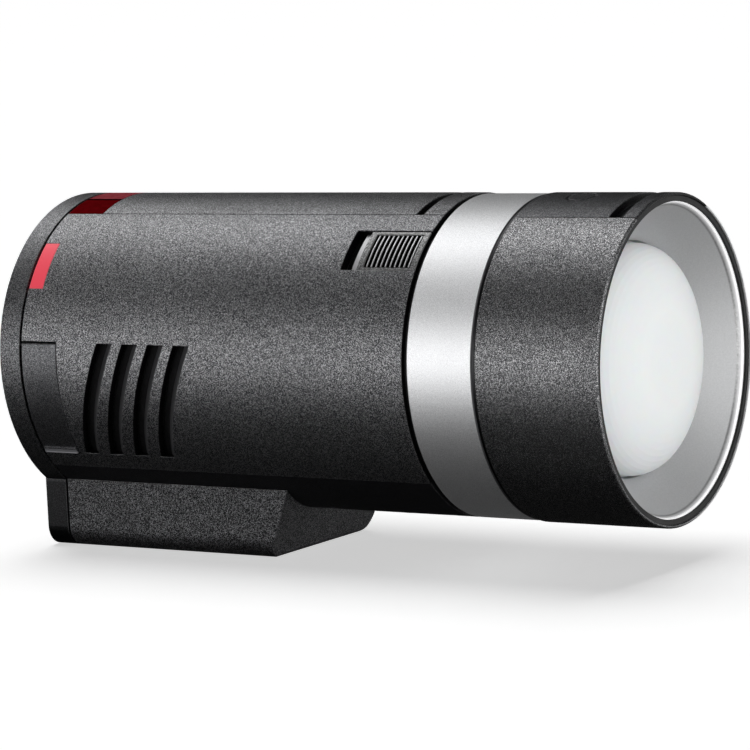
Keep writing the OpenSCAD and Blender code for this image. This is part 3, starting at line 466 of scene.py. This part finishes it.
LOOKS = {
    "shell": powder("body_powder", (0.051, 0.052, 0.056), (0.56, 0.56, 0.57), 6000.0, 0.070 * MM, 0.33, 0.98),
    "bezel": powder(
        "bezel_powder", (0.042, 0.043, 0.046), (0.34, 0.34, 0.35), 6000.0, 0.060 * MM, 0.33, 0.98,
        painted_groove_shade=False, calm=20 * MM
    ),
    "cover": powder(
        "cover_powder", (0.062, 0.063, 0.067), (0.62, 0.62, 0.63), 6000.0, 0.070 * MM, 0.30, 0.98
    ),
    "barrel": powder(
        "barrel_powder", (0.056, 0.057, 0.060), (0.58, 0.58, 0.59), 6200.0, 0.062 * MM, 0.27, 0.98,
        painted_groove_shade=False, front_face_painted_light=(0.80, 0.80, 0.81)
    ),
    "strip": powder(
        "strip_powder", (0.042, 0.043, 0.046), (0.32, 0.32, 0.33), 6200.0, 0.055 * MM, 0.33, 0.98
    ),
    "foot": powder(
        "foot_powder", (0.008, 0.008, 0.009), (0.27, 0.27, 0.28), 5600.0, 0.090 * MM, 0.44, 0.9, painted_groove_shade=False
    ),
    # Painted shade: the downward-facing base cover is a near-black copy of the body powder.
    "base": powder(
        "base_painted_shade_powder", (0.008, 0.008, 0.009), (0.04, 0.04, 0.045), 5200.0, 0.040 * MM, 0.45, 0.7, painted_groove_shade=False
    ),
    "door": powder(
        "door_powder", (0.056, 0.057, 0.061), (0.25, 0.25, 0.26), 6400.0, 0.032 * MM, 0.36, 0.95,
        lip=(0.17, 0.17, 0.18)
    ),
    "panel": moulded("panel_plastic", (0.016, 0.016, 0.018), 0.5, 2600.0, 0.02 * MM, 2.6),
    "black": moulded("black_plastic", (0.012, 0.012, 0.013), 0.42, 1900.0, 0.01 * MM, 3.0),
    "slide": slide_powder(),
    "rim": moulded("rim_black", (0.004, 0.004, 0.0045), 0.6, 2600.0, 0.02 * MM, 2.0),
    "vane": moulded("vane_plastic", (0.055, 0.055, 0.058), 0.5, 2600.0, 0.02 * MM, 2.0),
    "dial": moulded("dial_rubber", (0.018, 0.018, 0.020), 0.6, 2200.0, 0.02 * MM, 2.5),
    "trim": metal("trim_grey", (0.035, 0.035, 0.037), 0.36, lift=3.0),
    "sensor": sensor_red(),
    # The side marker gets a faint painted glow.
    "marker": satin_red("marker_red", (0.96, 0.070, 0.110), 0.20),
    "button": moulded("button_grey", (0.085, 0.086, 0.092), 0.5, 1700.0, 0.01 * MM, 2.0),
    "button_red": satin_red("button_red", (0.62, 0.035, 0.05)),
    "button_light": moulded("button_light", (0.62, 0.64, 0.66), 0.38, 1700.0, 0.006 * MM, 1.2),
    "silver": silver_skin(),
    "reflector": satin_reflector(),
    "dome": frosted_glass(),
    "display": display_glass(),
    "module": glow("display_module", (0.10, 0.16, 0.22), 0.3),
    "steel": metal("steel", (0.52, 0.53, 0.55), 0.30, 1400.0, 0.004 * MM),
    "brass": metal("brass", (0.75, 0.56, 0.24), 0.30, 1400.0, 0.004 * MM),
    "board": circuit_board("circuit_board", (0.010, 0.085, 0.040), (0.70, 0.48, 0.20)),
    "led": circuit_board("led_board", (0.78, 0.77, 0.72), (0.95, 0.80, 0.35)),
    "sink": metal("heat_sink", (0.60, 0.61, 0.63), 0.36, 1800.0, 0.006 * MM, brush=(0.05, 1.0, 1.0)),
    "cell": moulded("cell_wrap", (0.030, 0.16, 0.34), 0.28, 700.0, 0.01 * MM, 1.5),
    "capacitor": moulded("capacitor_wrap", (0.010, 0.020, 0.075), 0.30, 700.0, 0.01 * MM, 1.5),
    "core": wound("transformer_core", (0.10, 0.075, 0.060), 90.0),
    "coil": wound("coil_tape", (0.50, 0.20, 0.06), 260.0),
    "silicone": moulded("silicone", (0.20, 0.205, 0.21), 0.6, 900.0, 0.01 * MM, 1.3),
    "ceramic": moulded("white_ceramic", (0.80, 0.785, 0.73), 0.25, 900.0, 0.006 * MM, 1.1),
    "quartz": clear_quartz(),
    "ink": moulded("printed_ink", (0.62, 0.63, 0.65), 0.5, 2600.0, 0.004 * MM, 1.1),
    "lit": glow("display_ink", (0.55, 0.80, 0.95), 1.6),
    # A black sheet of painted shade behind the air slots.
    "shade_black": moulded("shade_sheet_black", (0.008, 0.008, 0.009), 0.9, 900.0, 0.3 * MM, 2.0),
}

DRESS = {
    "shell": ("left_shell", "right_shell"),
    "bezel": ("rear_bezel",),
    "cover": ("top_cover",),
    "base": ("base_cover",),
    "door": ("port_cover",),
    "barrel": ("front_barrel",),
    "strip": ("front_top_strip",),
    "foot": ("battery_housing", "battery_cap"),
    "panel": ("control_panel",),
    "black": (
        "port_plate",
        "optical_sensor",
        "fan_frame",
        "fan_rotor",
        "front_bulkhead",
        "front_sleeve",
        "battery_case",
    ),
    "rim": ("front_rim",),
    "slide": ("release_slide",),
    "dial": ("control_dial",),
    "trim": ("trim_ring",),
    "sensor": ("sensor_window",),
    "marker": ("side_marker",),
    "button": ("set_button", "menu_button", "mode_button", "group_button", "lamp_button"),
    "button_red": ("power_button", "battery_latch"),
    "button_light": ("test_button",),
    "silver": ("silver_ring",),
    "reflector": ("reflector",),
    "dome": ("dome",),
    "display": ("display_window",),
    "module": ("display_module",),
    "steel": ("rotary_encoder", "panel_screws", "usb_socket", "sync_jack", "slide_spring", "base_screws"),
    "brass": ("battery_contacts", "bay_contacts", "thread_insert"),
    "board": ("control_board", "main_board"),
    "led": ("led_board",),
    "sink": ("deck", "power_heat_sink", "led_heat_sink", "mount_plate"),
    "cell": ("battery_cells",),
    "capacitor": ("capacitors",),
    "core": ("transformer",),
    "coil": ("trigger_coil",),
    "silicone": ("dome_seal",),
    "ceramic": ("tube_socket",),
    "quartz": ("flash_tube",),
}


def wear(piece, look):
    piece.data.materials.clear()
    piece.data.materials.append(LOOKS[look])


for look, names in DRESS.items():
    for name in names:
        wear(NODES[name], look)


# ---- Printed marks and the black sheet of painted shade behind the air slots ----


def bar(y0, z0, y1, z1):
    return [(y0, z0), (y1, z0), (y1, z1), (y0, z1)]


def stroke(y0, z0, y1, z1, width):
    """A straight line of some width, as an outline."""
    along = Vector((y1 - y0, z1 - z0)).normalized() * (width / 2)
    side = Vector((-along.y, along.x))
    ends = ((y0, z0, -1, -1), (y1, z1, 1, -1), (y1, z1, 1, 1), (y0, z0, -1, 1))
    return [(y + a * along.x + s * side.x, z + a * along.y + s * side.y) for y, z, a, s in ends]


def arc(y, z, r, width, start, end, steps=28):
    """An arc of some width, from start to end degrees, as short quads."""
    shapes = []
    for i in range(steps):
        a, b = (math.radians(start + (end - start) * k / steps) for k in (i, i + 1))
        shapes.append(
            [
                (y + q * math.cos(t), z + q * math.sin(t))
                for q, t in ((r - width / 2, a), (r + width / 2, a), (r + width / 2, b), (r - width / 2, b))
            ]
        )
    return shapes


SEGMENTS = {
    "0": "abcdef",
    "1": "bc",
    "2": "abged",
    "3": "abgcd",
    "5": "afgcd",
    "6": "afgedc",
}


def digit(value, y, z, h):
    """A seven-segment digit. The panel is read from behind, so +Y is the reader's left."""
    w, t = h * 0.5, h * 0.13
    lines = {
        "a": (w, h, 0, h),
        "b": (0, h, 0, h / 2),
        "c": (0, h / 2, 0, 0),
        "d": (w, 0, 0, 0),
        "e": (w, h / 2, w, 0),
        "f": (w, h, w, h / 2),
        "g": (w, h / 2, 0, h / 2),
    }
    found = []
    for key in SEGMENTS[value]:
        y0, z0, y1, z1 = lines[key]
        found.append(stroke(y + y0, z + z0, y + y1, z + z1, t))
    return found


def finished(form, name, look, body, thickness=None):
    """Turns a bmesh into a dressed piece that rides on a body; with a thickness it is a smooth sheet."""
    bmesh.ops.recalc_face_normals(form, faces=form.faces)
    mesh = bpy.data.meshes.new(name)
    form.to_mesh(mesh)
    form.free()
    piece = bpy.data.objects.new(name, mesh)
    bpy.context.scene.collection.objects.link(piece)
    if thickness is not None:
        piece.modifiers.new("thick", "SOLIDIFY").thickness = thickness
        for face in mesh.polygons:
            face.use_smooth = True
    wear(piece, look)
    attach(piece, body)


def print_on(name, shapes, face_x, lift, look, body):
    """Thin raised print on a panel face that looks towards -X. Shapes are (y, z) outlines in metres."""
    form = bmesh.new()
    for outline in shapes:
        rings = [[form.verts.new((x, y, z)) for y, z in outline] for x in (face_x - lift, face_x + 0.02 * MM)]
        form.faces.new(rings[0])
        form.faces.new(rings[1][::-1])
        count = len(outline)
        for i in range(count):
            j = (i + 1) % count
            form.faces.new((rings[0][j], rings[0][i], rings[1][i], rings[1][j]))
    finished(form, name, look, body)


def moved(shapes, y, z, scale=MM):
    return [[(y + scale * a, z + scale * b) for a, b in outline] for outline in shapes]


def display_print():
    """Power figure, ratio bars, channel digit and battery outline on the display."""
    lo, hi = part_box("display_window")
    y, z = (lo.y + hi.y) / 2, (lo.z + hi.z) / 2
    shapes = []
    shapes += digit("1", 9.0, -3.4, 7.5) + digit("1", -3.6, -3.4, 7.5)
    shapes.append(stroke(5.2, -3.6, 1.4, 4.2, 0.8))
    shapes += digit("0", -9.0, -3.4, 4.2) + digit("3", -12.2, -3.4, 4.2)
    shapes.append(bar(-9.7, -3.6, -9.3, -3.0))
    for i in range(12):
        tall = 0.9 if i % 3 else 1.7
        shapes.append(bar(-15.5 + 2.8 * i, -7.8, -15.0 + 2.8 * i, -7.8 + tall))
    shapes.append(bar(-15.5, -8.3, 15.8, -8.0))
    for lower, upper in ((8.2, 8.5), (10.6, 10.9)):
        shapes.append(bar(-17.0, lower, -11.2, upper))
    shapes += [bar(-17.0, 8.2, -16.7, 10.9), bar(-11.5, 8.2, -11.2, 10.9), bar(-17.6, 9.0, -17.0, 10.1)]
    for i in range(3):
        shapes.append(bar(-16.3 + 1.6 * i, 8.8, -15.1 + 1.6 * i, 10.3))
    shapes += digit("2", 14.6, 7.9, 3.2)
    for reach_r, steps in ((1.3, 10), (0.6, 8)):
        shapes += arc(10.4, 9.4, reach_r, 0.35, 20, 160, steps)
    shapes += digit("5", 5.0, 7.9, 3.2) + digit("6", 2.4, 7.9, 3.2)
    print_on("display_print", moved(shapes, y, z), lo.x, 0.03 * MM, "lit", "lamp_body")


def key_print(node, body, shapes):
    lo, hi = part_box(node)
    y, z = (lo.y + hi.y) / 2, (lo.z + hi.z) / 2
    print_on(node + "_print", moved(shapes, y, z), lo.x, 0.02 * MM, "ink", body)


def key_prints():
    """A plain sign on the power, menu, group, mode and lamp keys: power ring, list, dots, a turning arrow and
    a lamp.
    """
    key_print("power_button", "power_key", arc(0, -0.1, 1.25, 0.35, 125, 415) + [bar(-0.17, 0.2, 0.17, 1.6)])
    key_print(
        "menu_button",
        "menu_key",
        [bar(-1.7, 1.0, 1.7, 1.4), bar(-1.7, -0.2, 1.7, 0.2), bar(-1.7, -1.4, 1.7, -1.0)],
    )
    dots = [arc(a * 1.1, b * 1.1, 0.3, 0.5, 0, 360, 12) for a in (-1, 1) for b in (-1, 1)]
    key_print("group_button", "group_key", sum(dots, []))
    key_print(
        "mode_button",
        "mode_key",
        arc(0, 0, 1.4, 0.35, 30, 160) + arc(0, 0, 1.4, 0.35, 210, 340) + [stroke(1.2, 0.7, 1.9, 0.1, 0.35)],
    )
    rays = [
        stroke(*(r * f(math.radians(a)) for r in (1.35, 2.0) for f in (math.cos, math.sin)), 0.3)
        for a in range(0, 360, 45)
    ]
    key_print("lamp_button", "lamp_key", arc(0, 0, 0.75, 0.35, 0, 360) + rays)


def dial_print():
    """Fine scale ticks on the panel round the dial, with every seventh one longer."""
    lo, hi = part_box("control_dial")
    y, z, r = (lo.y + hi.y) / 2, (lo.z + hi.z) / 2, (hi.y - lo.y) / 2 / MM
    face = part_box("control_panel")[0].x
    shapes = []
    for i, a in enumerate(range(20, 161, 10)):
        turn = math.radians(a)
        long = 1.5 if i % 7 == 0 else 0.8
        a0, a1 = r + 1.0, r + 1.0 + long
        shapes.append(
            stroke(a0 * math.cos(turn), a0 * math.sin(turn), a1 * math.cos(turn), a1 * math.sin(turn), 0.22)
        )
    print_on("dial_print", moved(shapes, y, z), face, 0.02 * MM, "ink", "lamp_body")


def shade_sheet(side):
    """A black sheet with a woven ripple, close behind one side's air slots: painted shade that makes the
    slots read black.
    """
    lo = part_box("right_shell")[0]
    inner = BARREL_R - 3.1 * MM
    start, end = lo.x + 13.5 * MM, lo.x + 68 * MM
    columns, rows = 160, 84
    form = bmesh.new()
    grid = []
    for i in range(columns + 1):
        x = start + (end - start) * i / columns
        line = []
        for j in range(rows + 1):
            turn = math.radians(72 + 62 * j / rows)
            ripple = 0.12 * MM * math.sin(i * 1.6) * math.sin(j * 1.6)
            r = inner + ripple
            line.append(form.verts.new((x, side * r * math.sin(turn), AXIS_Z + r * math.cos(turn))))
        grid.append(line)
    for i in range(columns):
        for j in range(rows):
            form.faces.new((grid[i][j], grid[i + 1][j], grid[i + 1][j + 1], grid[i][j + 1]))
    name = "shade_sheet_far" if side > 0 else "shade_sheet_near"
    finished(form, name, "shade_black", "lamp_body", SHEET)


def vanes(side):
    """Slanted vanes inside one side's air slots: each runs in and back from its slot's front edge."""
    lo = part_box("right_shell")[0]
    first, pitch, lean = lo.x + 31.9 * MM, 8.8 * MM, 12.6 * MM
    top, bottom, rows, steps = AXIS_Z + 6.3 * MM, AXIS_Z - 26.4 * MM, 40, 6
    depths = [(0.25 * MM + 2.6 * MM * k / steps, 3.3 * MM * (k / steps) ** 1.2) for k in range(steps + 1)]
    form = bmesh.new()
    for i in range(4):
        grid = []
        for j in range(rows + 1):
            z = top + (bottom - top) * j / rows
            edge = first + pitch * i - lean * j / rows
            line = []
            for inward, back in depths:
                r = BARREL_R - inward
                y = side * math.sqrt(r * r - (z - AXIS_Z) ** 2)
                line.append(form.verts.new((edge - back, y, z)))
            grid.append(line)
        for j in range(rows):
            for k in range(steps):
                form.faces.new((grid[j][k], grid[j][k + 1], grid[j + 1][k + 1], grid[j + 1][k]))
    name = "air_vanes_far" if side > 0 else "air_vanes_near"
    finished(form, name, "vane", "lamp_body", SHEET)


display_print()
key_prints()
dial_print()
for side in (1, -1):
    shade_sheet(side)
    vanes(side)


# ---- Floor, lights and camera ----


def stage_floor():
    mesh = bpy.data.meshes.new("floor")
    form = bmesh.new()
    bmesh.ops.create_circle(form, cap_ends=True, segments=96, radius=40.0)
    form.to_mesh(mesh)
    form.free()
    floor = bpy.data.objects.new("floor", mesh)
    bpy.context.scene.collection.objects.link(floor)
    k = Look("pale_floor", Emission_Color=(1, 1, 1, 1), Emission_Strength=0.58)
    paper = k.noise(60.0, 3.0)
    k.feed(
        Base_Color=k.ramp(paper, (0.3, (0.80, 0.80, 0.80)), (0.7, (0.83, 0.83, 0.83))),
        Roughness=k.fade(paper, 0.3, 0.7, 0.9, 0.97),
    )
    mesh.materials.append(k.material)
    floor.visible_glossy = False
    floor.visible_diffuse = False
    floor.visible_shadow = False
    return floor


def reach(light, state, *pieces):
    """The light reaches these pieces alone (INCLUDE) or everything but them (EXCLUDE)."""
    group = bpy.data.collections.new(light.name + "_reach")
    for piece in pieces:
        group.objects.link(piece)
    for linked in group.collection_objects:
        linked.light_linking.link_state = state
    light.light_linking.receiver_collection = group


def facing(right, up, back, place):
    """The matrix of a lamp or camera at a place, looking against `back`."""
    turn = Matrix((right, up, back)).transposed().to_4x4()
    return Matrix.Translation(place) @ turn


def soft_box(name, towards, distance, size, radiance, roll=0.0, at=(0.0, 0.0, 0.056)):
    """A rectangular soft box seen from `at` in a direction, its long side along the barrel but for `roll`."""
    data = bpy.data.lights.new(name, "AREA")
    data.shape = "RECTANGLE"
    data.size, data.size_y = size
    data.energy = radiance * math.pi * size[0] * size[1]
    lamp = bpy.data.objects.new(name, data)
    bpy.context.scene.collection.objects.link(lamp)
    back = Vector(towards).normalized()
    side = Vector((1, 0, 0)) - back * back.x
    if side.length < 0.3:
        side = Vector((0, 1, 0)) - back * back.y
    side.normalize()
    side = Matrix.Rotation(math.radians(roll), 3, back) @ side
    up = back.cross(side)
    lamp.matrix_world = facing(side, up, back, Vector(at) + back * distance)
    lamp.visible_camera = False
    return lamp


def lights(floor):
    """Two long boxes along the barrel, a second pair for the ring, a box for the lens, and soft fills."""
    ring = NODES["silver_ring"]
    side = (-0.532, -0.845, 0.054)
    reach(soft_box("top_box", (-0.532, 0.200, 0.823), 1.0, (1.7, 0.54), 2.7, -16.0), "EXCLUDE", floor, ring)
    reach(soft_box("side_box", side, 1.0, (1.7, 0.38), 2.75), "EXCLUDE", floor, ring)
    reach(soft_box("ring_top_box", (-0.532, -0.005, 0.847), 1.0, (1.7, 0.56), 2.25), "INCLUDE", ring)
    reach(soft_box("ring_side_box", side, 1.0, (1.7, 0.50), 2.6), "INCLUDE", ring)
    reach(soft_box("front_box", (0.95, -0.20, 0.06), 0.9, (1.2, 1.2), 1.75), "EXCLUDE", floor)
    lens = soft_box("lens_box", (0.36, -0.92, 0.14), 1.0, (0.9, 0.9), 1.55)
    reach(lens, "INCLUDE", NODES["reflector"], NODES["dome"])
    reach(soft_box("far_box", (0.52, 0.85, 0.05), 1.2, (0.9, 1.4), 0.8), "EXCLUDE", floor)
    reach(soft_box("rear_box", (-0.96, -0.10, 0.35), 1.1, (0.7, 0.7), 0.55), "EXCLUDE", floor)
    sun = bpy.data.lights.new("floor_sun", "SUN")
    sun.energy = 1.75
    sun.angle = math.radians(50)
    lamp = bpy.data.objects.new("floor_sun", sun)
    bpy.context.scene.collection.objects.link(lamp)
    lamp.rotation_euler = (math.radians(-12), math.radians(-14), 0)
    reach(lamp, "INCLUDE", floor)


def surroundings():
    """White behind everything for the camera, and a dim grey room for the light."""
    world = bpy.data.worlds.new("studio")
    bpy.context.scene.world = world
    world.use_nodes = True
    nodes, links = world.node_tree.nodes, world.node_tree.links
    path = nodes.new("ShaderNodeLightPath")
    amount = nodes.new("ShaderNodeMapRange")
    amount.inputs[3].default_value = 0.006
    amount.inputs[4].default_value = 1.0
    links.new(path.outputs["Is Camera Ray"], amount.inputs[0])
    background = nodes["Background"]
    background.inputs[0].default_value = (1, 1, 1, 1)
    links.new(amount.outputs[0], background.inputs[1])


def camera():
    azimuth, elevation, roll = (math.radians(a) for a in (32.437, 7.045, -2.605))
    distance, lens, target = 0.96657, 164.32, Vector((0.0048, 0.0, 0.04966))
    back = Vector(
        (
            math.sin(azimuth) * math.cos(elevation),
            -math.cos(azimuth) * math.cos(elevation),
            math.sin(elevation),
        )
    )
    flat = Vector((math.cos(azimuth), math.sin(azimuth), 0))
    upright = back.cross(flat)
    right = flat * math.cos(roll) + upright * math.sin(roll)
    up = upright * math.cos(roll) - flat * math.sin(roll)
    data = bpy.data.cameras.new("camera")
    data.lens, data.sensor_width = lens, 36.0
    data.clip_start, data.clip_end = 0.05, 100.0
    view = bpy.data.objects.new("camera", data)
    bpy.context.scene.collection.objects.link(view)
    view.matrix_world = facing(right, up, back, target + back * distance)
    bpy.context.scene.camera = view


floor = stage_floor()
lights(floor)
surroundings()
camera()
bpy.context.scene.view_settings.view_transform = "Standard"
